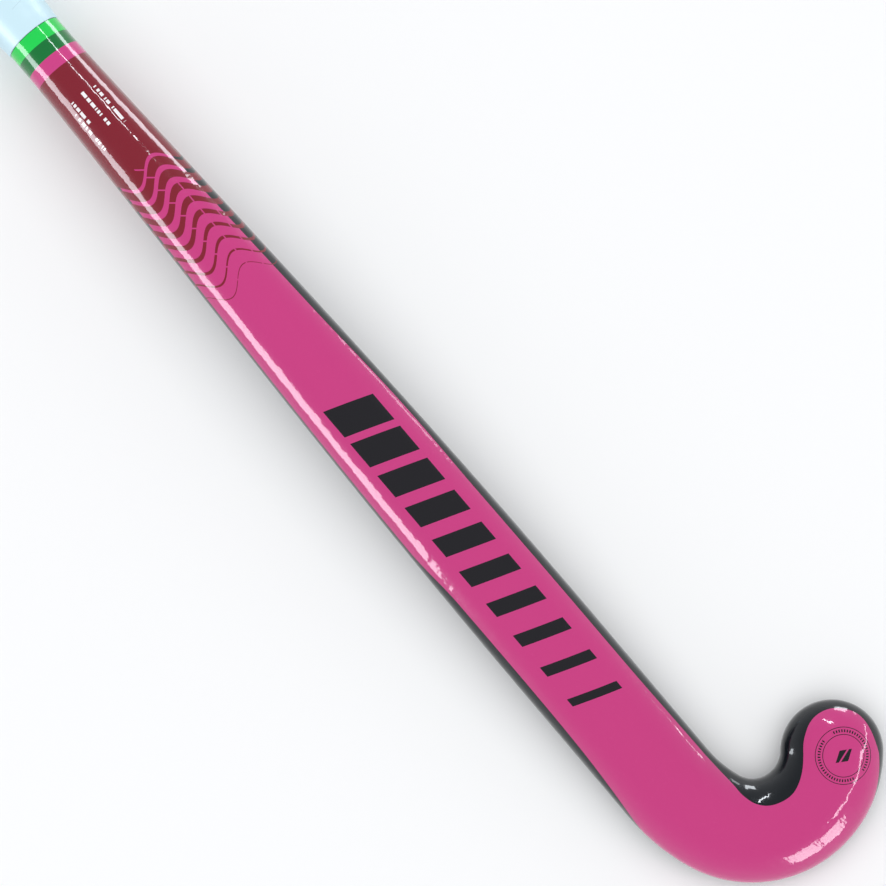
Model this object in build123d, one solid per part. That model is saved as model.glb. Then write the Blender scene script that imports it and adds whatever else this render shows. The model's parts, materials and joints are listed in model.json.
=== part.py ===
"""A laminated wooden field hockey stick: bent plies, a fibreglass skin, a wrapped grip and a butt cap.

The stick is modelled lying on its flat playing face with its rounded back up, the way it rests on a floor.
It is built in a head frame first: x runs from the handle to the head, y from the shaft to the toe, and z
away from the playing face, which is the plane z = 0 at the head. The last step tips the bowed stick until
the butt rests on the floor too.
"""

import os
from math import asin, atan2, copysign, cos, degrees, pi, radians, sin

from build123d import *

# Overall sizes, in millimetres and degrees
STICK_LENGTH = 762.0  # butt of the wood to the bottom of the head, along the stick: a 30 inch stick
TAPER_LENGTH = 370.0  # where the round handle swells into the flat shaft, and where the bow is
THROAT_LENGTH = 35.0  # straight stretch between the bow and the bend of the head
BOW_ANGLE = 7.8  # turn of the bow between the handle and the head

# Cross-sections
HANDLE_RADIUS = 12.9
HEAD_HALF_WIDTH = 22.3
HEAD_THICKNESS = 20.5
FACE_HALF_WIDTH = 17.5  # half of the flat part of the playing face
WIDEST_HEIGHT = 7.0  # height of the widest line above the playing face
HANDLE_FLAT = 0.25  # half-width of the line along which the round handle meets the face surface
SWELL_END = 0.9  # share of the taper at which the shaft reaches its full width
SWELL_POWER = 1.2
TAPER_STATIONS = 9

# Bend of the head, on the centreline
HEEL_RADIUS = 75.0
HEEL_TURN = 19.5
HOOK_RADIUS = 34.3
HOOK_TURN = 119.3

# Laminations and fibreglass
PLY_COUNT = 10
PLY_RUN_OUT = 1.2  # a ply ends in the taper where it is this thin
GLASS_THICKNESS = 0.6
GLASS_UNDER_TAPE = 12.0  # how far the glass runs in under the finishing tape
FACE_GLASS_START = 0.3  # where the face sheet starts, as a share of the taper from the handle
SEAM_HEIGHT = 1.8  # height above the playing face of the seam between the two glass pieces

# Grip, finishing tape and butt cap
GRIP_THICKNESS = 1.9
GRIP_END_THICKNESS = 0.3
TAPE_THICKNESS = 0.25
TAPE_WIDTH = 24.0  # the grip's lower end is shaved down to nothing under the tape
TAPE_HOLD = 4.0  # how far the tape reaches past the grip, onto the lacquer
TAPE_GAP = 12.1  # from the tape's lower edge to the start of the taper
CAP_WALL = 1.3  # thinner than the grip, so that what slides on from the butt seats on the grip
CAP_DEPTH = 14.0  # how far the cap reaches down over the wood
CAP_CROWN = 5.0
CAP_EDGE = 2.0
FIT = 0.1  # clearance between the wood and what is pushed or wrapped onto it
BED = 0.02  # bonded pieces lie this close together

MARGIN = 5.0  # how far cutting tools reach past the stock

# Sizes that follow
HOOK_OFFSET = HEEL_RADIUS - HOOK_RADIUS
HEEL_CENTRE = Vector(0, HEEL_RADIUS)
HOOK_BEARING = radians(HEEL_TURN)
HOOK_CENTRE = HEEL_CENTRE + Vector(HOOK_OFFSET * sin(HOOK_BEARING), -HOOK_OFFSET * cos(HOOK_BEARING))
TOE_BEARING = HEEL_TURN + HOOK_TURN - 90.0
TOE_CENTRE = HOOK_CENTRE + HOOK_RADIUS * Vector(cos(radians(TOE_BEARING)), sin(radians(TOE_BEARING)))
TOE_HEADING = Vector(cos(radians(TOE_BEARING + 90)), sin(radians(TOE_BEARING + 90)))
HEAD_BOTTOM = HOOK_CENTRE.X + HOOK_RADIUS + HEAD_HALF_WIDTH
HANDLE_LENGTH = STICK_LENGTH - HEAD_BOTTOM - THROAT_LENGTH - TAPER_LENGTH
BOW_RADIUS = TAPER_LENGTH / radians(BOW_ANGLE)
TAPE_END = HANDLE_LENGTH - TAPE_GAP  # distances along the handle are counted from the butt of the wood
TAPE_START = TAPE_END - TAPE_WIDTH
GLASS_START = TAPE_END - GLASS_UNDER_TAPE
GRIP_END = TAPE_END - TAPE_HOLD
GRIP_RADIUS = HANDLE_RADIUS + FIT + GRIP_THICKNESS
CAP_RADIUS = HANDLE_RADIUS + FIT + CAP_WALL


def station(along):
    """The plane across the stick at a distance along the taper, its origin on the playing face."""
    turn = radians(BOW_ANGLE) * (1 - along / TAPER_LENGTH)
    x = -THROAT_LENGTH - BOW_RADIUS * sin(turn)
    z = -BOW_RADIUS * (1 - cos(turn))
    return Plane(origin=(x, 0, z), x_dir=(0, 1, 0), z_dir=(cos(turn), 0, sin(turn)))


def section_edges(share, inset):
    """The outline across the stick, from 0 at the handle to 1 at the head, with or without an inset."""
    swell = sin(pi / 2 * min(1, share / SWELL_END)) ** SWELL_POWER
    ease = share * share * (3 - 2 * share)
    half_width = HANDLE_RADIUS + (HEAD_HALF_WIDTH - HANDLE_RADIUS) * swell - inset
    thickness = 2 * HANDLE_RADIUS + (HEAD_THICKNESS - 2 * HANDLE_RADIUS) * ease - inset
    flat = HANDLE_FLAT + (FACE_HALF_WIDTH - HANDLE_FLAT) * swell
    widest = HANDLE_RADIUS + (WIDEST_HEIGHT - HANDLE_RADIUS) * ease
    corner_x, corner_y = half_width - flat, widest - inset
    return [
        Line((-flat, inset), (flat, inset)),
        EllipticalCenterArc((flat, widest), corner_x, corner_y, start_angle=-90, arc_size=90),
        EllipticalCenterArc((0, widest), half_width, thickness - widest, start_angle=0, arc_size=180),
        EllipticalCenterArc((-flat, widest), corner_x, corner_y, start_angle=180, arc_size=90),
    ]


def section(plane, share, inset):
    return plane * make_face(Wire(section_edges(share, inset)))


def half_section(inset):
    """The outer half of the head's section, which turns round the toe."""
    return make_face(Wire(section_edges(1, inset))) & Rectangle(
        2 * HEAD_HALF_WIDTH, 4 * HEAD_THICKNESS, align=(Align.MIN, Align.CENTER)
    )


def handle_plane(along):
    """The plane across the handle at a distance from the butt of the wood."""
    return station(0).offset(along - HANDLE_LENGTH)


def stock(inset, start):
    """The whole bowed and bent stick, solid, from a distance along the handle to the toe."""
    grow = section(handle_plane(start), 0, inset)
    handle = extrude(grow, HANDLE_LENGTH - start)
    shares = [i / (TAPER_STATIONS - 1) for i in range(TAPER_STATIONS)]
    taper = loft([section(station(TAPER_LENGTH * s), s, inset) for s in shares])
    head_plane = station(TAPER_LENGTH)
    throat = extrude(section(head_plane, 1, inset), THROAT_LENGTH)
    bend_face = section(head_plane.offset(THROAT_LENGTH), 1, inset)
    heel = revolve(bend_face, Axis(HEEL_CENTRE, (0, 0, 1)), HEEL_TURN)
    hook_face = bend_face.rotate(Axis(HEEL_CENTRE, (0, 0, 1)), HEEL_TURN)
    hook = revolve(hook_face, Axis(HOOK_CENTRE, (0, 0, 1)), HOOK_TURN)
    outward = Vector(cos(radians(TOE_BEARING)), sin(radians(TOE_BEARING)))
    toe_plane = Plane(origin=TOE_CENTRE, x_dir=outward, z_dir=-TOE_HEADING)
    toe = revolve(toe_plane * half_section(inset), Axis(TOE_CENTRE, (0, 0, 1)), 180)
    return handle + taper + throat + heel + hook + toe


def ply_path(start, offset):
    """One side of a ply in plan: along the shaft, round the heel and the hook, and out past the toe."""
    heel = CenterArc(HEEL_CENTRE, HEEL_RADIUS - offset, -90, HEEL_TURN)
    hook = CenterArc(HOOK_CENTRE, HOOK_RADIUS - offset, HEEL_TURN - 90, HOOK_TURN)
    shaft = Line((start, offset), heel @ 0)
    toe = Line(hook @ 1, (hook @ 1) + TOE_HEADING * (HEAD_HALF_WIDTH + MARGIN))
    return [shaft, heel, hook, toe]


def ply_start(edge):
    """Where the ply with this inner edge begins: at the butt, or where it runs out in the taper."""
    reach = abs(edge) + PLY_RUN_OUT + GLASS_THICKNESS
    if reach < HANDLE_RADIUS:
        return -STICK_LENGTH
    swell = (reach - HANDLE_RADIUS) / (HEAD_HALF_WIDTH - HANDLE_RADIUS)
    share = SWELL_END * 2 / pi * asin(swell ** (1 / SWELL_POWER))
    return station(TAPER_LENGTH * share).origin.X


def ply_plan(low, high, last):
    """A ply seen from above. Past the run-out of the ply outside it, it fills out to the stick's side."""
    inner_edge, outer_edge = sorted((low, high), key=abs)
    start = ply_start(inner_edge)
    one, other = ply_path(start, low), ply_path(start, high)
    plan = make_face(Wire([*one, Line(one[-1] @ 1, other[-1] @ 1), *other, Line(one[0] @ 0, other[0] @ 0)]))
    if last or ply_start(outer_edge) == start:
        return plan
    side = copysign(HEAD_HALF_WIDTH, low + high)
    outer_start = ply_start(outer_edge)
    corners = [(start, outer_edge), (outer_start, outer_edge), (outer_start, side), (start, side)]
    return plan + make_face(Wire(Polyline(*corners, close=True).edges()))


def wood_plies(core):
    """The bent laminations, from the heel side to the inside of the hook."""
    half = HEAD_HALF_WIDTH - GLASS_THICKNESS
    bounds = [half * (2 * i / PLY_COUNT - 1) for i in range(PLY_COUNT + 1)]
    bounds[0] -= MARGIN
    bounds[-1] += (HOOK_RADIUS - HEAD_HALF_WIDTH) / 2
    plies = []
    for i, (low, high) in enumerate(zip(bounds, bounds[1:])):
        plan = ply_plan(low, high, last=i in (0, PLY_COUNT - 1))
        plies.append(core & extrude(plan, 2 * STICK_LENGTH, both=True))
    return plies


def face_slab():
    """Everything under the seam of the glass, which follows the bow."""
    turn = BOW_ANGLE * (1 - FACE_GLASS_START)
    centre = (-THROAT_LENGTH, -BOW_RADIUS)
    top = CenterArc(centre, BOW_RADIUS + SEAM_HEIGHT, 90, turn)
    low = CenterArc(centre, BOW_RADIUS - MARGIN, 90, turn)
    reach = HEAD_BOTTOM + MARGIN
    outline = Polyline(top @ 0, (reach, SEAM_HEIGHT), (reach, -MARGIN), low @ 0)
    end = Line(top @ 1, low @ 1)
    profile = make_face(Wire([top, *outline.edges(), low, end]))
    return extrude(Plane.XZ * profile, 2 * STICK_LENGTH, both=True)


def ring(plane, profile):
    """A turned piece on the handle, from points (radius, distance along)."""
    outline = make_face(Wire(Polyline(*profile, close=True).edges()))
    centre = plane.origin + plane.y_dir * HANDLE_RADIUS
    lengthways = Plane(origin=centre, x_dir=plane.x_dir, z_dir=-plane.y_dir)
    return revolve(lengthways * outline, Axis(centre, plane.z_dir), 360)


def grip():
    bore = HANDLE_RADIUS + FIT
    end = bore + GRIP_END_THICKNESS
    start = CAP_DEPTH + BED
    outside = [(GRIP_RADIUS, start), (GRIP_RADIUS, TAPE_START), (end, GRIP_END)]
    return ring(handle_plane(0), [(bore, start), *outside, (bore, GRIP_END)])


def finishing_tape():
    bore = HANDLE_RADIUS + FIT
    end = bore + GRIP_END_THICKNESS
    inside = [(GRIP_RADIUS + BED, TAPE_START), (end + BED, GRIP_END + BED)]
    inside += [(bore, GRIP_END + BED), (bore, TAPE_END)]
    outside = [(bore + TAPE_THICKNESS, TAPE_END), (end + TAPE_THICKNESS, GRIP_END)]
    outside += [(GRIP_RADIUS + TAPE_THICKNESS, TAPE_START)]
    return ring(handle_plane(0), inside + outside)


def butt_cap():
    """A rubber cup over the end of the wood, with a rounded rim."""
    plane = handle_plane(-CAP_CROWN)
    axis_point = plane.origin + plane.y_dir * HANDLE_RADIUS
    base = Plane(origin=axis_point, x_dir=plane.x_dir, z_dir=plane.z_dir)
    cup = extrude(base * Circle(CAP_RADIUS), CAP_CROWN + CAP_DEPTH)
    rim = cup.edges().filter_by(GeomType.CIRCLE).sort_by(Axis(axis_point, plane.z_dir))[0]
    cup = fillet(rim, CAP_EDGE)
    socket = extrude(base.offset(CAP_CROWN - BED) * Circle(HANDLE_RADIUS + FIT), CAP_DEPTH + CAP_CROWN)
    return cup - socket


def resting(parts):
    """Tips the stick onto its butt cap and the far edge of its face, and centres it over the origin."""
    rim_plane = handle_plane(CAP_EDGE - CAP_CROWN)
    cap_foot = rim_plane.origin - rim_plane.y_dir * (CAP_RADIUS - HANDLE_RADIUS)
    head_foot = Vector(HOOK_CENTRE.X + HOOK_RADIUS + FACE_HALF_WIDTH, 0, 0)
    tilt = degrees(atan2(head_foot.Z - cap_foot.Z, head_foot.X - cap_foot.X))
    boxes = [(Rot(Y=tilt) * part).bounding_box() for part in parts]
    middle_x = (min(box.min.X for box in boxes) + max(box.max.X for box in boxes)) / 2
    middle_y = (min(box.min.Y for box in boxes) + max(box.max.Y for box in boxes)) / 2
    home = Pos(-middle_x, -middle_y, -min(box.min.Z for box in boxes))
    return [home * Rot(Y=tilt) * part for part in parts]


def main():
    core = stock(GLASS_THICKNESS, GLASS_START - BED) + extrude(
        section(handle_plane(0), 0, 0), GLASS_START - BED
    )
    glass = stock(0, GLASS_START) - stock(GLASS_THICKNESS, GLASS_START)
    slab = face_slab()
    named = {f"wood_ply_{i + 1:02d}": ply for i, ply in enumerate(wood_plies(core))}
    named["face_glass"] = glass & slab
    named["back_glass"] = glass - slab
    named["grip_wrap"] = grip()
    named["finishing_tape"] = finishing_tape()
    named["butt_cap"] = butt_cap()
    placed = resting(list(named.values()))
    os.makedirs("parts", exist_ok=True)
    for name, part in zip(named, placed):
        export_step(part, f"parts/{name}.step")


main()
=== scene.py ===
"""The looks of the field hockey stick: lacquered skin with its print, wound grip, tape and butt cap.

Shapes are worked out in millimetres, in the head frame that part.py builds in: x towards the head from the
start of the heel's bend, y towards the toe and z away from the playing face. The function to_row turns them
into the row's frame, in metres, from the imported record's mounts.
"""

import json
from math import acos, atan2, cos, hypot, pi, radians, sin

import bpy
from mathutils import Matrix, Vector


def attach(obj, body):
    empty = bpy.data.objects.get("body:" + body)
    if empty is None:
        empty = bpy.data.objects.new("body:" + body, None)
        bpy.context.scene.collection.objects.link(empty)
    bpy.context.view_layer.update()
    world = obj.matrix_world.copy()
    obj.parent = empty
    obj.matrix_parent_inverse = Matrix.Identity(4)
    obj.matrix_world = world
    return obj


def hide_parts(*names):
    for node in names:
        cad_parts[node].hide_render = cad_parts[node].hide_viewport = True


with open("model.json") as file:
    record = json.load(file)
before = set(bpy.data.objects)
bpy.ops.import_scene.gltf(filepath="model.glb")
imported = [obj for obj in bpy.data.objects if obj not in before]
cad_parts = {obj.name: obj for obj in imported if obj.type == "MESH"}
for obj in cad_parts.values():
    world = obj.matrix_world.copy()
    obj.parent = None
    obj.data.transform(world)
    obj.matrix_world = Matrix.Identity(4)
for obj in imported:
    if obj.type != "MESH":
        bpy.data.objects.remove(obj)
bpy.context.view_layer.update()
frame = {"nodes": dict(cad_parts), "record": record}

MM = 0.001

# Sizes of the stick, in millimetres and degrees, as in part.py
STICK_LENGTH = 762.0
TAPER_LENGTH = 370.0
THROAT_LENGTH = 35.0
HANDLE_RADIUS = 12.9
HEAD_HALF_WIDTH = 22.3
HEAD_THICKNESS = 20.5
FACE_HALF_WIDTH = 17.5
WIDEST_HEIGHT = 7.0
HANDLE_FLAT = 0.25
SWELL_END = 0.9
SWELL_POWER = 1.2
HEEL_RADIUS = 75.0
HEEL_TURN = 19.5
HOOK_RADIUS = 34.3
HOOK_TURN = 119.3
SEAM_HEIGHT = 1.8
FACE_GLASS_START = 0.3
TAPE_GAP = 12.1
TAPE_WIDTH = 24.0
TAPE_HOLD = 4.0
TAPE_THICKNESS = 0.25
GRIP_THICKNESS = 1.9
GRIP_END_THICKNESS = 0.3
FIT = 0.1
CAP_WALL = 1.3
CAP_DEPTH = 14.0
CAP_CROWN = 5.0
CAP_EDGE = 2.0
FACE_MOUNT_SHORT = 10.0  # the playing face's mount is this far short of the hook's centre

# Sizes that follow
HOOK_OFFSET = HEEL_RADIUS - HOOK_RADIUS
HEEL_CENTRE = Vector((0, HEEL_RADIUS))
HOOK_CENTRE = HEEL_CENTRE + HOOK_OFFSET * Vector((sin(radians(HEEL_TURN)), -cos(radians(HEEL_TURN))))
TOE_BEARING = radians(HEEL_TURN + HOOK_TURN - 90)
TOE_CENTRE = HOOK_CENTRE + HOOK_RADIUS * Vector((cos(TOE_BEARING), sin(TOE_BEARING)))
HEEL_START = STICK_LENGTH - HOOK_CENTRE.x - HOOK_RADIUS - HEAD_HALF_WIDTH  # from the butt, on the centreline
THROAT_START = HEEL_START - THROAT_LENGTH
TAPER_START = THROAT_START - TAPER_LENGTH
HOOK_START = HEEL_START + radians(HEEL_TURN) * HEEL_RADIUS
TOE_START = HOOK_START + radians(HOOK_TURN) * HOOK_RADIUS
TOE_END = TOE_START + HEAD_HALF_WIDTH * pi / 2
TAPE_END = TAPER_START - TAPE_GAP
TAPE_START = TAPE_END - TAPE_WIDTH
GRIP_RADIUS = HANDLE_RADIUS + FIT + GRIP_THICKNESS
CAP_RADIUS = HANDLE_RADIUS + FIT + CAP_WALL
MOUNTS = {mount["name"]: mount for mount in frame["record"]["mounts"]}
FACE_AXIS = Vector(MOUNTS["playing_face"]["axis"])
HANDLE_AXIS = Vector(MOUNTS["handle"]["axis"])
TILT = atan2(-FACE_AXIS.x, -FACE_AXIS.z)
BOW_TURN = TILT + atan2(-HANDLE_AXIS.z, -HANDLE_AXIS.x)
BOW_RADIUS = TAPER_LENGTH / BOW_TURN

# Print, in millimetres from the butt along the stick and across it from its middle
BAND_WIDTH = 6.7
BAND_START = TAPE_END
MAROON_START = BAND_START + 2.95 * BAND_WIDTH
WAVE_START = 352.1
WAVE_PITCH = 7.06
WAVE_COUNT = 9
WAVE_HEIGHT = 3.9
WAVE_LENGTH = 25.0
WAVE_CREST = 4.2
BADGE_CENTRE = (730.6, 63.9)

# How far the dark sides reach in over the back, from the widest line, at distances along the centreline.
# A negative reach is a drop below the widest line. These are readings of the photograph's paint edge that a
# scratch script turned into millimetres, not sizes that follow from the stick's own.
DARK_TOE_SIDE = (
    (TAPER_START, 3.8), (440, 3.7), (495, 2.7), (546, 3.6), (640, 3.6), (HEEL_START, 2.8),
    (HEEL_START + 10, 3.0), (HOOK_START - 4, 4.4), (HOOK_START + 9, 7.6), (HOOK_START + 17, 9.8),
    (HOOK_START + 25, 11.2), (HOOK_START + 34, 11.6), (HOOK_START + 42, 11.5), (HOOK_START + 49, 10.6),
    (HOOK_START + 57, 9.4), (HOOK_START + 66, 8.4), (TOE_START + 3, 8.0), (TOE_START + 12, 6.9),
    (TOE_START + 18, 5.6), (TOE_START + 23, 4.6), (TOE_START + 30, 3.7), (TOE_END, 3.4),
)
DARK_HEEL_SIDE = (
    (TAPER_START, 1.0), (545, 1.0), (575, 2.8), (650, 3.0), (HEEL_START, 0.8), (HOOK_START, -2.5),
    (HOOK_START + 28, -3.0), (HOOK_START + 50, -1.0), (TOE_START - 10, 1.2), (TOE_START - 2, 2.8),
    (TOE_START + 3, 3.9), (TOE_START + 8, 4.4), (TOE_START + 14, 4.1), (TOE_START + 20, 3.4),
    (TOE_START + 25, 3.1), (TOE_END, 3.4),
)

PINK = (0.600, 0.045, 0.225)
PINK_DEEP = (0.500, 0.030, 0.170)
PINK_LIGHT = (0.680, 0.080, 0.290)
MAROON = (0.215, 0.009, 0.022)
BLACK = (0.003, 0.005, 0.008)
BRIGHT_GREEN = (0.008, 0.640, 0.080)
DARK_GREEN = (0.001, 0.170, 0.032)
PALE_PRINT = (0.900, 0.880, 0.900)
INK = (0.008, 0.007, 0.010)
# Painted shadow colour, for the thin strip on the skin just below the tape's edge
TAPE_EDGE_PAINTED_SHADOW = (0.01, 0.03, 0.04)
PALE_BLUE = (0.585, 0.800, 0.890)


# ---------------------------------------------------------------- where things are


def to_row(point):
    """A point of the head frame, in millimetres, to the row's frame in metres."""
    mark = Vector((HOOK_CENTRE.x - FACE_MOUNT_SHORT, HOOK_CENTRE.y - HOOK_RADIUS, 0))
    turn = Matrix.Rotation(TILT, 3, "Y")
    return Vector(MOUNTS["playing_face"]["pos_m"]) + turn @ (Vector(point) - mark) * MM


def bowed_frame(along):
    """The face line's point, and the directions along and up, at a distance from the butt before the heel."""
    into_taper = along - TAPER_START
    turn = BOW_TURN * (1 - min(max(into_taper / TAPER_LENGTH, 0), 1))
    origin = Vector((-THROAT_LENGTH - BOW_RADIUS * sin(turn), 0, -BOW_RADIUS * (1 - cos(turn))))
    ahead = Vector((cos(turn), 0, sin(turn)))
    origin += ahead * (min(into_taper, 0) + max(into_taper - TAPER_LENGTH, 0))
    return origin, ahead, Vector((-sin(turn), 0, cos(turn)))


def handle_point(along, radius, angle):
    """A point round the handle's axis, at an angle from straight up."""
    origin, ahead, up = bowed_frame(0)
    centre = origin + ahead * along + up * HANDLE_RADIUS
    return to_row(centre + radius * (cos(angle) * up + sin(angle) * Vector((0, 1, 0))))


def section_sizes(along):
    """Half width, thickness, half width of the flat, and height of the widest line, at a distance along."""
    share = min(max((along - TAPER_START) / TAPER_LENGTH, 0), 1)
    swell = sin(pi / 2 * min(1, share / SWELL_END)) ** SWELL_POWER
    ease = share * share * (3 - 2 * share)
    return (
        HANDLE_RADIUS + (HEAD_HALF_WIDTH - HANDLE_RADIUS) * swell,
        2 * HANDLE_RADIUS + (HEAD_THICKNESS - 2 * HANDLE_RADIUS) * ease,
        HANDLE_FLAT + (FACE_HALF_WIDTH - HANDLE_FLAT) * swell,
        HANDLE_RADIUS + (WIDEST_HEIGHT - HANDLE_RADIUS) * ease,
    )


FLAT_STEPS, LOW_STEPS, CORNER_STEPS, CROWN_STEPS = 10, 4, 9, 34
HALF_STEPS = FLAT_STEPS + LOW_STEPS + CORNER_STEPS + CROWN_STEPS


def half_section(along):
    """Points (across, height) from the middle of the face round one side to the top of the crown."""
    half_width, thickness, flat, widest = section_sizes(along)
    seam = acos(1 - SEAM_HEIGHT / widest)
    points = [(flat * i / FLAT_STEPS, 0) for i in range(FLAT_STEPS)]
    angles = [seam * i / LOW_STEPS for i in range(LOW_STEPS)]
    angles += [seam + (pi / 2 - seam) * i / CORNER_STEPS for i in range(CORNER_STEPS)]
    points += [(flat + (half_width - flat) * sin(a), widest - widest * cos(a)) for a in angles]
    for i in range(CROWN_STEPS + 1):
        a = pi / 2 * i / CROWN_STEPS
        points.append((half_width * cos(a), widest + (thickness - widest) * sin(a)))
    points[-1] = (0, thickness)
    return points


def place(along, across, height, side):
    """A surface point in the head frame. Past the end of the hook, the two sides turn in round the toe."""
    if along <= HEEL_START:
        origin, _, up = bowed_frame(along)
        return origin + Vector((0, side * across, 0)) + up * height
    if along <= HOOK_START:
        centre, radius, bearing = HEEL_CENTRE, HEEL_RADIUS, (along - HEEL_START) / HEEL_RADIUS - pi / 2
    elif along <= TOE_START:
        bearing = radians(HEEL_TURN - 90) + (along - HOOK_START) / HOOK_RADIUS
        centre, radius = HOOK_CENTRE, HOOK_RADIUS
    else:
        turn = (along - TOE_START) / HEAD_HALF_WIDTH
        bearing = TOE_BEARING + turn if side < 0 else TOE_BEARING + pi - turn
        spot = TOE_CENTRE + across * Vector((cos(bearing), sin(bearing)))
        return Vector((spot.x, spot.y, height))
    spot = centre + (radius - side * across) * Vector((cos(bearing), sin(bearing)))
    return Vector((spot.x, spot.y, height))


def smooth_line(points, x):
    """A smooth curve through a few points (x, value), level beyond its ends."""
    if x <= points[0][0]:
        return points[0][1]
    if x >= points[-1][0]:
        return points[-1][1]
    slopes = []
    for i in range(len(points)):
        before, after = points[max(i - 1, 0)], points[min(i + 1, len(points) - 1)]
        slopes.append((after[1] - before[1]) / (after[0] - before[0]))
    slopes[0] = slopes[-1] = 0
    i = max(i for i in range(len(points) - 1) if points[i][0] <= x)
    (x0, y0), (x1, y1) = points[i], points[i + 1]
    step = x1 - x0
    t = (x - x0) / step
    rise = y0 * (1 + 2 * t) * (1 - t) ** 2 + y1 * t * t * (3 - 2 * t)
    return rise + step * (slopes[i] * t * (1 - t) ** 2 - slopes[i + 1] * t * t * (1 - t))


# ---------------------------------------------------------------- meshes


def mesh_object(name, points, faces, values, normals=None):
    """An object from points, faces and per-point attributes, each a name and three numbers a point."""
    mesh = bpy.data.meshes.new(name)
    mesh.from_pydata([tuple(p) for p in points], [], faces)
    for label, numbers in values.items():
        layer = mesh.attributes.new(label, "FLOAT_VECTOR", "POINT")
        layer.data.foreach_set("vector", [v for row in numbers for v in row])
    mesh.polygons.foreach_set("use_smooth", [True] * len(mesh.polygons))
    mesh.update()
    if normals:
        mesh.normals_split_custom_set_from_vertices([tuple(n) for n in normals])
    piece = bpy.data.objects.new(name, mesh)
    bpy.context.collection.objects.link(piece)
    return piece


def skin_stations():
    """Distances along the centreline where the skin has a ring of points."""
    shaft = (TAPE_END - TAPE_HOLD, TAPER_START, TAPER_START + FACE_GLASS_START * TAPER_LENGTH)
    steps = ((shaft[0], shaft[1], 8), (shaft[1], shaft[2], 45), (shaft[2], THROAT_START, 100))
    steps += ((THROAT_START, HEEL_START, 16), (HEEL_START, HOOK_START, 16), (HOOK_START, TOE_START, 64))
    steps += ((TOE_START, TOE_END, 30),)
    stations = [low + (high - low) * i / count for low, high, count in steps for i in range(count)]
    return stations + [TOE_END]


def skin_pieces():
    """The lacquered skin over both glass pieces: one smooth surface, cut along their seam."""
    stations = skin_stations()
    ring = 2 * HALF_STEPS
    toe = stations.index(TOE_START)
    last = len(stations) - 1
    points, plan, paint, number = [], [], [], {}
    for i, along in enumerate(stations):
        half = half_section(along)
        half_width, _, _, widest = section_sizes(along)
        girth = [0.0]
        for a, b in zip(half[::-1], half[-2::-1]):
            girth.append(girth[-1] + hypot(b[0] - a[0], b[1] - a[1]))
        for j in range(ring):
            side, k = (1, j) if j <= HALF_STEPS else (-1, ring - j)
            if i > toe and k in (0, HALF_STEPS):
                number[i, j] = number[toe, j]
                continue
            if i == last and side < 0:
                number[i, j] = number[i, ring - j]
                continue
            across, height = half[k]
            spot = place(along, across, height, side)
            number[i, j] = len(points)
            points.append(to_row(spot))
            if along <= HEEL_START:
                plan.append((along, side * across, height))
            else:
                plan.append((HEEL_START + spot.x, spot.y, height))
            reach = half_width - across if height >= widest else height - widest
            dark = smooth_line(DARK_TOE_SIDE if side > 0 else DARK_HEEL_SIDE, along)
            paint.append((reach - dark, side * girth[HALF_STEPS - k], 0))
    face, back = [], []
    seam = FLAT_STEPS + LOW_STEPS
    seam_start = TAPER_START + FACE_GLASS_START * TAPER_LENGTH
    for i in range(last):
        for j in range(ring):
            k = (j + 1) % ring
            corners = list(dict.fromkeys((number[i, j], number[i, k], number[i + 1, k], number[i + 1, j])))
            if len(corners) < 3:
                continue
            low = j < seam or j >= ring - seam
            (face if low and stations[i] >= seam_start - MM else back).append(corners)
    whole = mesh_object("whole_skin", points, face + back, {})
    normals = [v.normal.copy() for v in whole.data.vertices]
    bpy.data.objects.remove(whole)
    pieces = []
    for name, faces in (("face_skin", face), ("back_skin", back)):
        used = sorted({v for corners in faces for v in corners})
        renumber = {v: n for n, v in enumerate(used)}
        pieces.append(mesh_object(
            name,
            [points[v] for v in used],
            [[renumber[v] for v in corners] for corners in faces],
            {"plan": [plan[v] for v in used], "paint": [paint[v] for v in used]},
            [normals[v] for v in used],
        ))
    return pieces


def lathe(name, profile, around=96):
    """A turned piece on the handle, from points (distance from the butt, radius)."""
    points, wrap, faces = [], [], []
    for along, radius in profile:
        for j in range(around):
            angle = 2 * pi * j / around
            points.append(handle_point(along, radius, angle))
            wrap.append((along, angle * GRIP_RADIUS, radius))
    for i in range(len(profile) - 1):
        for j in range(around):
            k = (j + 1) % around
            faces.append([i * around + j, i * around + k, (i + 1) * around + k, (i + 1) * around + j])
    return mesh_object(name, points, faces, {"wrap": wrap})


GRIP_PITCH = 21.0
GRIP_OVERLAP = 1.1  # the tape's width, as a share of its pitch
GRIP_LIFT = 0.42  # how far the lapping edge stands out
GRIP_SINK = 0.25  # how far the lapped edge lies in


def grip_strip():
    """The cushioned tape, wound from the butt: each turn's upper edge laps the turn before it."""
    start, end = CAP_DEPTH, TAPE_START + 0.6
    around = 72
    turns = (end - start) / GRIP_PITCH + 1.2
    edge = ((0.0, -0.5), (0.004, -0.12), (0.012, 0.55), (0.028, 0.86), (0.055, 1.0))
    across = list(edge) + [(w / 14, 1 - (w / 14) ** 1.5) for w in range(2, 15)]
    points, wrap, faces = [], [], []
    for i in range(int(turns * around) + 1):
        turn = i / around
        for w, lift in across:
            along = start + (turn - 1 + w * GRIP_OVERLAP) * GRIP_PITCH
            held = min(max(along, start), end)
            radius = GRIP_RADIUS - GRIP_SINK + (GRIP_LIFT + GRIP_SINK) * lift
            points.append(handle_point(held, radius, 2 * pi * turn))
            wrap.append((2 * pi * turn * GRIP_RADIUS, w * GRIP_OVERLAP * GRIP_PITCH, radius))
    width = len(across)
    for i in range(int(turns * around)):
        for k in range(width - 1):
            a = i * width + k
            faces.append([a, a + width, a + width + 1, a + 1])
    return mesh_object("cushion_grip", points, faces, {"wrap": wrap})


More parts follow.
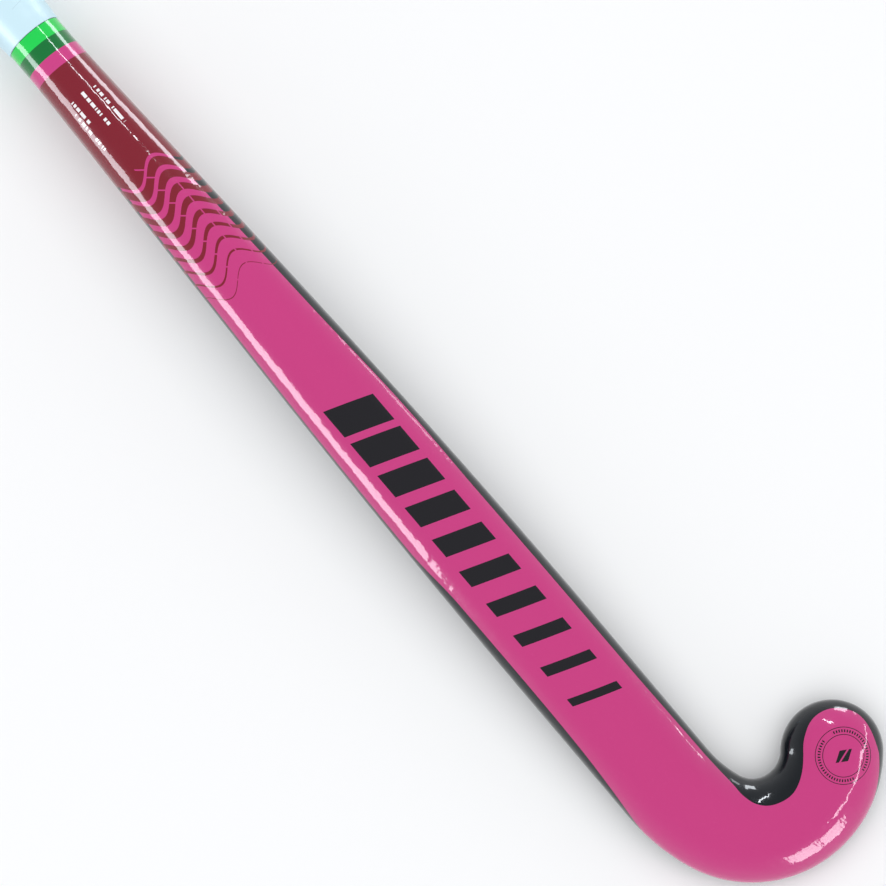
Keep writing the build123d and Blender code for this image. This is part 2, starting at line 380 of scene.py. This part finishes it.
def tape_sleeve():
    """Adhesive tape over the grip's shaved end, with a soft shoulder at each edge."""
    bore = HANDLE_RADIUS + FIT
    grip_end = TAPE_END - TAPE_HOLD
    profile = [(TAPE_START - 0.2, GRIP_RADIUS - 0.1), (TAPE_START - 0.2, GRIP_RADIUS + TAPE_THICKNESS - 0.05)]
    profile.append((TAPE_START + 0.2, GRIP_RADIUS + TAPE_THICKNESS))
    steps = 14
    for i in range(1, steps + 1):
        share = i / steps
        fall = share * share * (3 - 2 * share)
        radius = GRIP_RADIUS + (bore + GRIP_END_THICKNESS - GRIP_RADIUS) * (0.55 * share + 0.45 * fall)
        profile.append((TAPE_START + (grip_end - TAPE_START) * share, radius + TAPE_THICKNESS))
    profile += [(grip_end + 0.8, bore + TAPE_THICKNESS + 0.1), (TAPE_END - 0.3, bore + TAPE_THICKNESS)]
    profile += [(TAPE_END, bore + 0.6 * TAPE_THICKNESS), (TAPE_END, HANDLE_RADIUS - 0.05)]
    return lathe("tape_sleeve", profile)


def cap_cup():
    """The rubber cap, with fine moulded grooves, a ring in its end and a vent in the middle."""
    bevel = 0.25
    profile = [(CAP_DEPTH, HANDLE_RADIUS + FIT), (CAP_DEPTH, CAP_RADIUS - bevel)]
    profile.append((CAP_DEPTH - bevel, CAP_RADIUS))
    groove, depth = 0.35, 0.3
    for at in (9.5, 7.5, 5.5):
        profile += [(at + groove, CAP_RADIUS), (at + 0.6 * groove, CAP_RADIUS - depth)]
        profile += [(at - 0.6 * groove, CAP_RADIUS - depth), (at - groove, CAP_RADIUS)]
    for i in range(9):
        a = pi / 2 * i / 8
        profile.append((CAP_EDGE - CAP_CROWN - CAP_EDGE * sin(a), CAP_RADIUS - CAP_EDGE + CAP_EDGE * cos(a)))
    ring = ((10.2, 0), (9.9, 0.35), (9.1, 0.35), (8.8, 0))
    vent = ((2.2, 0), (1.9, 0.2), (1.2, 0.9), (0.05, 1.0))
    for radius, sunk in ring + vent:
        profile.append((sunk - CAP_CROWN, radius))
    return lathe("rubber_cap", profile)


# ---------------------------------------------------------------- materials


class Graph:
    """Short names for the nodes of one material."""

    def __init__(self, name):
        self.material = bpy.data.materials.new(name)
        self.material.use_nodes = True
        self.nodes = self.material.node_tree.nodes
        self.links = self.material.node_tree.links
        self.shader = self.nodes["Principled BSDF"]

    def put(self, socket, value):
        if isinstance(value, bpy.types.NodeSocket):
            self.links.new(value, socket)
        elif isinstance(value, tuple) and len(value) == 3 and len(socket.default_value) == 4:
            socket.default_value = (*value, 1.0)
        else:
            socket.default_value = value

    def node(self, kind, settings=None, **inputs):
        node = self.nodes.new(kind)
        for key, value in (settings or {}).items():
            setattr(node, key, value)
        for key, value in inputs.items():
            self.put(node.inputs[key.replace("_", " ")], value)
        return node

    def math(self, operation, first, second=0.0, third=0.0):
        node = self.nodes.new("ShaderNodeMath")
        node.operation = operation
        for socket, value in zip(node.inputs, (first, second, third)):
            self.put(socket, value)
        return node.outputs[0]

    def add(self, a, b):
        return self.math("ADD", a, b)

    def sub(self, a, b):
        return self.math("SUBTRACT", a, b)

    def mul(self, a, b):
        return self.math("MULTIPLY", a, b)

    def div(self, a, b):
        return self.math("DIVIDE", a, b)

    def above(self, a, b):
        return self.math("GREATER_THAN", a, b)

    def below(self, a, b):
        return self.math("LESS_THAN", a, b)

    def between(self, a, low, high):
        return self.mul(self.above(a, low), self.below(a, high))

    def either(self, a, b):
        return self.math("MAXIMUM", a, b)

    def mix(self, share, a, b):
        node = self.nodes.new("ShaderNodeMix")
        node.data_type = "RGBA"
        node.clamp_factor = True
        self.put(node.inputs[0], share)
        self.put(node.inputs[6], a)
        self.put(node.inputs[7], b)
        return node.outputs[2]

    def attribute(self, name):
        node = self.nodes.new("ShaderNodeAttribute")
        node.attribute_name = name
        split = self.node("ShaderNodeSeparateXYZ", Vector=node.outputs["Vector"])
        return node.outputs["Vector"], split.outputs[0], split.outputs[1], split.outputs[2]

    def place(self, scale=(1, 1, 1)):
        """The object's own coordinates, in metres, stretched."""
        here = self.nodes.new("ShaderNodeTexCoord").outputs["Object"]
        return self.node("ShaderNodeMapping", Vector=here, Scale=scale).outputs[0]

    def noise(self, where, scale, detail=3.0, roughness=0.5):
        inputs = {"Vector": where, "Scale": scale, "Detail": detail, "Roughness": roughness}
        return self.node("ShaderNodeTexNoise", **inputs).outputs[0]

    def bump(self, height, distance, strength=1.0, under=None):
        node = self.node("ShaderNodeBump", Height=height, Distance=distance, Strength=strength)
        if under is not None:
            self.links.new(under, node.inputs["Normal"])
        return node.outputs[0]

    def finish(self, **inputs):
        for key, value in inputs.items():
            self.put(self.shader.inputs[key.replace("_", " ")], value)
        return self.material


def slanted_break(g, girth, rise):
    """1 on a thin slanted break in the maroon, where a rise along the stick keeps step with the girth."""
    start, cosine, sine, half_width = 1.8, 0.65, 0.76, 0.30
    off_line = g.sub(g.mul(g.add(girth, start), cosine), g.mul(rise, sine))
    return g.below(g.math("ABSOLUTE", off_line), half_width)


def girth_break(g, girth, whole, middle, after):
    """1 on a thin break along the stick, from the stripe that follows a number of others."""
    half_width = 0.28
    return g.mul(g.below(g.math("ABSOLUTE", g.sub(girth, middle)), half_width), g.above(whole, after - 0.5))


def wave_stripes(g, x, girth):
    """Maroon waves that thin out down the stick, with small breaks in them: 1 on a stripe, 0 between."""
    widest, thinning = 0.345, 0.0395  # half a stripe, as a share of the pitch, and what each next one loses
    solid_end = -0.09  # where the solid maroon before the waves ends, in pitches
    level = 0.245  # keeps the breaks level with the wave's own shift
    turn = g.mul(g.sub(girth, WAVE_CREST), 2 * pi / WAVE_LENGTH)
    shift = g.mul(g.math("COSINE", turn), WAVE_HEIGHT)
    count = g.div(g.sub(g.add(x, shift), WAVE_START), WAVE_PITCH)
    whole = g.math("FLOOR", count)
    from_middle = g.sub(g.sub(count, whole), 0.5)
    half_width = g.sub(widest, g.mul(whole, thinning))
    stripe = g.below(g.math("ABSOLUTE", from_middle), half_width)
    stripe = g.mul(stripe, g.between(whole, -0.5, WAVE_COUNT - 0.5))
    bend = g.sub(shift, level)
    steep = slanted_break(g, girth, g.sub(g.mul(from_middle, WAVE_PITCH), bend))
    crest = girth_break(g, girth, whole, 5.8, 2)
    far = girth_break(g, girth, whole, 11.5, 4)
    stripe = g.mul(stripe, g.sub(1.0, g.either(steep, g.either(crest, far))))
    nick = slanted_break(g, girth, g.sub(g.mul(g.sub(count, solid_end), WAVE_PITCH), bend))
    nick = g.mul(nick, g.between(girth, -5.0, -1.0))
    return g.either(stripe, g.mul(g.below(count, solid_end), g.sub(1.0, nick)))


def slanted_bars(g, x, y):
    """A plain row of slanted bars that grow narrower towards the head, where the stick carries its print."""
    start, pitch, count, half_height, slant = 481.0, 17.6, 10, 10.6, 0.36
    first_share, narrowing = 0.80, 0.064  # of the pitch: the first bar, and what each next one loses
    along = g.div(g.sub(g.sub(x, start), g.mul(y, slant)), pitch)
    whole = g.math("FLOOR", along)
    part = g.sub(along, whole)
    bar = g.below(part, g.sub(first_share, g.mul(whole, narrowing)))
    return g.mul(bar, g.mul(g.between(whole, -0.5, count - 0.5), g.between(y, -half_height, half_height)))


def small_marks(g, x, y, rows, pitch, half_height):
    """Rows of fine upright ticks, unevenly spaced, each row from a first to a last distance."""
    blank_share = 0.42
    cell = g.math("FLOOR", g.div(x, pitch))
    marks = None
    for number, (middle, first, last) in enumerate(rows):
        spot = g.node("ShaderNodeCombineXYZ", X=cell, Y=float(number), Z=0.5).outputs[0]
        random = g.node("ShaderNodeTexWhiteNoise", {"noise_dimensions": "3D"}, Vector=spot).outputs["Value"]
        line = g.mul(g.between(y, middle - half_height, middle + half_height), g.above(random, blank_share))
        line = g.mul(line, g.between(x, first, last))
        marks = line if marks is None else g.either(marks, line)
    return marks


def badge(g, x, y):
    """Two thin rings with two broken rows of ticks between them, round a diamond split by a slanted gap."""
    dx, dy = g.sub(x, BADGE_CENTRE[0]), g.sub(y, BADGE_CENTRE[1])
    out = g.math("SQRT", g.add(g.mul(dx, dx), g.mul(dy, dy)))
    ring_width, tick_count = 0.3, 56.0
    outer, inner = 12.0, 8.9
    rings = g.either(g.between(out, outer, outer + ring_width), g.between(out, inner, inner + ring_width))
    turn = g.div(g.math("ARCTAN2", dy, dx), 2 * pi)
    tick = g.math("FRACT", g.mul(turn, tick_count))
    gap = g.above(g.math("ABSOLUTE", g.math("SINE", g.mul(turn, 2 * pi))), 0.22)
    ticks = g.mul(g.mul(g.below(tick, 0.5), g.between(out, 10.0, 11.2)), gap)
    diamond = g.add(g.math("ABSOLUTE", dx), g.mul(g.math("ABSOLUTE", dy), 0.62))
    cleft = g.math("ABSOLUTE", g.add(dx, g.mul(dy, 0.3)))
    middle = g.mul(g.below(diamond, 2.9), g.above(cleft, 0.35))
    return g.either(g.either(rings, ticks), middle)


def lacquer(name):
    """Gloss lacquer over the printed skin: pink back, dark sides and face, maroon waves and green bands."""
    g = Graph(name)
    _, x, y, height = g.attribute("plan")
    _, edge, girth, _ = g.attribute("paint")
    cloud = g.noise(g.place((5, 12, 12)), 1.0, 2.0)
    pink = g.mix(g.mul(cloud, 0.5), PINK, PINK_DEEP)
    speck = g.noise(g.place(), 900.0, 2.0)
    pink = g.mix(g.mul(g.above(speck, 0.68), 0.10), pink, PINK_LIGHT)
    crown = g.above(edge, 0.0)
    color = g.mix(crown, BLACK, pink)
    bars = g.mul(g.mul(slanted_bars(g, x, y), crown), g.above(height, WIDEST_HEIGHT))
    mark = g.mul(g.mul(badge(g, x, y), crown), g.above(height, WIDEST_HEIGHT))
    color = g.mix(g.either(bars, mark), color, INK)
    color = g.mix(wave_stripes(g, x, girth), color, MAROON)
    rows = ((5.6, 310, 330), (-0.4, 309, 327), (-6.6, 309, 321), (-9.2, 314, 334))
    print_marks = g.mul(small_marks(g, x, girth, rows, 0.62, 0.75), g.above(height, WIDEST_HEIGHT))
    color = g.mix(print_marks, color, PALE_PRINT)
    flank = small_marks(g, x, girth, ((-27.0, 425, 492),), 1.1, 0.9)
    color = g.mix(g.mul(flank, 0.55), color, PALE_PRINT)
    band = g.sub(x, g.mul(y, 0.03))
    color = g.mix(g.below(band, MAROON_START), color, PINK)
    color = g.mix(g.below(band, BAND_START + 2 * BAND_WIDTH), color, DARK_GREEN)
    color = g.mix(g.below(band, BAND_START + BAND_WIDTH), color, BRIGHT_GREEN)
    # Painted shadow: a thin dark strip on the skin just below the tape's edge.
    color = g.mix(g.below(x, BAND_START + 0.25), color, TAPE_EDGE_PAINTED_SHADOW)
    swell = g.noise(g.place((18, 60, 60)), 1.0, 2.0, 0.4)
    ripple = g.noise(g.place((170, 230, 230)), 1.0, 2.0)
    flow = g.bump(swell, 0.00035)
    flow = g.bump(ripple, 0.00013, under=flow)
    dust = g.noise(g.place(), 300.0, 4.0)
    rough = g.add(0.16, g.mul(dust, 0.10))
    return g.finish(
        Base_Color=color, Roughness=rough, Specular_IOR_Level=0.1, Normal=flow,
        Coat_Normal=flow, Coat_Weight=1.0, Coat_Roughness=0.035, Coat_IOR=1.45,
    )


def cushion():
    """Pale cushioned polyurethane with rows of punched holes and a fine leathery grain. The holes, and a
    strip along each turn's lapping edge, are painted darker as shade.
    """
    g = Graph("cushion_grip")
    _, along, across, _ = g.attribute("wrap")
    spacing = 3.0
    row = g.math("FLOOR", g.div(across, spacing))
    odd = g.mul(g.math("MODULO", row, 2.0), 0.5)
    u = g.sub(g.math("FRACT", g.add(g.div(along, spacing), odd)), 0.5)
    v = g.sub(g.math("FRACT", g.div(across, spacing)), 0.5)
    out = g.mul(g.math("SQRT", g.add(g.mul(u, u), g.mul(v, v))), spacing)
    width = GRIP_PITCH * GRIP_OVERLAP
    painted_hole_shade = g.mul(g.below(out, 0.42), g.between(across, 2.4, width - 3.0))
    dip = g.math("SMOOTH_MIN", out, 0.62, 0.2)
    grain = g.noise(g.place(), 1400.0, 4.0, 0.6)
    tone = g.noise(g.place((20, 60, 60)), 1.0, 3.0)
    color = g.mix(g.mul(tone, 0.35), PALE_BLUE, (0.50, 0.72, 0.83))
    # Painted shade: the punched holes are coloured a darker blue-grey.
    color = g.mix(g.mul(painted_hole_shade, 0.75), color, (0.16, 0.26, 0.33))
    # Painted shade: a darker strip along the edge where each turn laps the one before.
    color = g.mix(g.mul(g.below(across, 0.35), 0.35), color, (0.30, 0.44, 0.52))
    normal = g.bump(grain, 0.00006, 0.7)
    normal = g.bump(dip, 0.0005, 1.0, normal)
    rough = g.add(0.48, g.mul(grain, 0.18))
    return g.finish(Base_Color=color, Roughness=rough, Normal=normal, Sheen_Weight=0.15)


def tape_finish():
    """Smooth pale tape, with faint wrinkles along its turns and a painted shade line where its end lies over
    its own turn.
    """
    g = Graph("finishing_tape")
    _, along, around, _ = g.attribute("wrap")
    wrinkle = g.noise(g.place((60, 14, 14)), 1.0, 3.0)
    grain = g.noise(g.place(), 1100.0, 3.0)
    tone = g.noise(g.place((25, 25, 25)), 1.0, 2.0)
    color = g.mix(g.mul(tone, 0.3), PALE_BLUE, (0.66, 0.86, 0.93))
    turn_end_painted_shade = g.below(g.math("ABSOLUTE", g.sub(g.add(along, g.mul(around, 0.16)), TAPE_START + 12)), 0.12)
    # Painted shade: a thin darker line along the tape's end, where it lies over its own turn.
    color = g.mix(g.mul(turn_end_painted_shade, 0.35), color, (0.32, 0.46, 0.54))
    normal = g.bump(wrinkle, 0.0004, 0.5)
    normal = g.bump(grain, 0.00003, 0.5, normal)
    return g.finish(Base_Color=color, Roughness=0.38, Normal=normal)


def cap_rubber():
    """Dark matt rubber, scuffed grey in places."""
    g = Graph("cap_rubber")
    grain = g.noise(g.place(), 1600.0, 4.0, 0.65)
    scuff = g.noise(g.place((40, 40, 40)), 1.0, 5.0)
    color = g.mix(g.mul(g.above(scuff, 0.56), 0.35), (0.016, 0.018, 0.022), (0.045, 0.048, 0.055))
    rough = g.add(0.52, g.mul(scuff, 0.25))
    return g.finish(Base_Color=color, Roughness=rough, Normal=g.bump(grain, 0.00005, 0.8))


def ply_wood():
    """Straight-grained pale hardwood, for the plies inside the skin."""
    g = Graph("ply_wood")
    rings = g.noise(g.place((6, 90, 90)), 1.0, 5.0, 0.55)
    pores = g.noise(g.place((120, 1800, 1800)), 1.0, 3.0)
    color = g.mix(rings, (0.62, 0.41, 0.21), (0.80, 0.62, 0.38))
    color = g.mix(g.mul(g.above(pores, 0.62), 0.4), color, (0.38, 0.23, 0.11))
    return g.finish(Base_Color=color, Roughness=0.6, Normal=g.bump(rings, 0.0001, 0.5))


def floor_finish():
    """Plain pale paper, hardly mottled."""
    g = Graph("floor")
    mottle = g.noise(g.place(), 3.0, 2.0)
    color = g.mix(g.mul(mottle, 0.2), (0.93, 0.93, 0.93), (0.90, 0.90, 0.91))
    return g.finish(Base_Color=color, Roughness=0.9, Specular_IOR_Level=0.1)


# ---------------------------------------------------------------- the object


def dress(piece, material, slot, *nodes):
    """Gives a piece its material and has it stand in for CAD nodes; the slot is not used."""
    piece.data.materials.append(material)
    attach(piece, "root")
    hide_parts(*nodes)


def build_stick():
    """The visible pieces over the CAD's glass, grip, tape and cap. The plies keep their CAD shapes."""
    face, back = skin_pieces()
    dress(face, lacquer("dark_lacquer"), "dark_lacquer", "face_glass")
    dress(back, lacquer("pink_lacquer"), "pink_lacquer", "back_glass")
    dress(grip_strip(), cushion(), "cushion_grip", "grip_wrap")
    dress(tape_sleeve(), tape_finish(), "tape", "finishing_tape")
    dress(cap_cup(), cap_rubber(), "cap_rubber", "butt_cap")
    wood = ply_wood()
    for name, node in frame["nodes"].items():
        if name.startswith("wood_ply"):
            node.data.materials.clear()
            node.data.materials.append(wood)


# ---------------------------------------------------------------- studio


CAMERA_PLACE = Vector((0.215, -0.1205, 1.675))
CAMERA_TARGET = Vector((0.1418, -0.0107, 0.025))
CAMERA_ROLL = radians(49.6)  # the stick runs down to the right by this much
FRAME_WIDTH = 0.3778  # what the camera sees across, at its target
SENSOR = 36.0

OVERHEAD_POWER = 112
HORIZON_GLOW, UPPER_GLOW = 1.05, 0.40


def build_camera():
    """Looks down on the stick's back from the photograph's side."""
    back = CAMERA_PLACE - CAMERA_TARGET
    distance = back.length
    back.normalize()
    right = Vector((cos(CAMERA_ROLL), sin(CAMERA_ROLL), 0))
    right -= back * right.dot(back)
    right.normalize()
    data = bpy.data.cameras.new("camera")
    data.sensor_width = SENSOR
    data.lens = SENSOR * distance / FRAME_WIDTH
    data.clip_end = 20
    camera = bpy.data.objects.new("camera", data)
    turn = Matrix((right, back.cross(right), back)).transposed()
    camera.matrix_world = Matrix.Translation(CAMERA_PLACE) @ turn.to_4x4()
    bpy.context.collection.objects.link(camera)
    bpy.context.scene.camera = camera


def tube(name, start, end, width, glow):
    """A thin straight light between two points, as bright as glow all along."""
    start, end = Vector(start), Vector(end)
    middle = (start + end) / 2
    data = bpy.data.lights.new(name, "AREA")
    data.shape = "RECTANGLE"
    data.size, data.size_y = (end - start).length, width
    data.energy = glow * pi * data.size * data.size_y
    data.color = (0.90, 0.95, 1.0)
    lamp = bpy.data.objects.new(name, data)
    right = (end - start).normalized()
    back = middle - Vector((0.1, 0, 0))
    back = (back - right * right.dot(back)).normalized()
    turn = Matrix((right, back.cross(right), back)).transposed()
    lamp.matrix_world = Matrix.Translation(middle) @ turn.to_4x4()
    lamp.visible_diffuse = False
    bpy.context.collection.objects.link(lamp)


def soft_overhead():
    """A wide even light from above that shows in no reflection."""
    data = bpy.data.lights.new("overhead", "AREA")
    data.shape = "SQUARE"
    data.size = 6
    data.energy = OVERHEAD_POWER
    lamp = bpy.data.objects.new("overhead", data)
    lamp.location = (0, 0, 3)
    lamp.visible_glossy = False
    bpy.context.collection.objects.link(lamp)


def build_world():
    """Soft light from all round, brighter near the horizon than overhead."""
    world = bpy.data.worlds.new("studio")
    bpy.context.scene.world = world
    world.use_nodes = True
    nodes, links = world.node_tree.nodes, world.node_tree.links
    way = nodes.new("ShaderNodeTexCoord")
    split = nodes.new("ShaderNodeSeparateXYZ")
    ramp = nodes.new("ShaderNodeMapRange")
    ramp.inputs["From Min"].default_value = 0.0
    ramp.inputs["From Max"].default_value = 0.8
    ramp.inputs["To Min"].default_value = HORIZON_GLOW
    ramp.inputs["To Max"].default_value = UPPER_GLOW
    links.new(way.outputs["Generated"], split.inputs[0])
    links.new(split.outputs[2], ramp.inputs["Value"])
    nodes["Background"].inputs[0].default_value = (0.95, 0.97, 1.0, 1)
    links.new(ramp.outputs[0], nodes["Background"].inputs[1])


def build_studio():
    bpy.ops.mesh.primitive_plane_add(size=30, location=(0, 0, 0))
    floor = bpy.context.object
    floor.name = "floor"
    floor.data.materials.append(floor_finish())
    build_world()
    soft_overhead()
    tube("heel_side_window", (-0.70, -1.25, 0.42), (0.26, -1.25, 0.42), 0.50, 11.0)
    tube("toe_side_window", (-0.80, 1.40, 0.22), (-0.25, 1.40, 0.22), 0.42, 12.0)
    tube("toe_side_far_window", (-0.02, 1.40, 0.10), (0.14, 1.40, 0.10), 0.18, 5.0)
    tube("ceiling_tube", (-1.30, 1.08, 1.62), (-0.42, 1.08, 1.62), 0.08, 30.0)
    tube("far_tube", (1.39, 0.23, 1.07), (0.62, 2.00, 0.39), 0.06, 13.0)
    tube("head_window_near", (1.75, -0.36, 0.62), (1.75, -0.02, 0.62), 0.62, 10.0)
    tube("head_window_far", (1.75, 0.03, 0.62), (1.75, 0.33, 0.62), 0.62, 10.0)
    bpy.context.scene.view_settings.view_transform = "Standard"


build_stick()
build_camera()
build_studio()
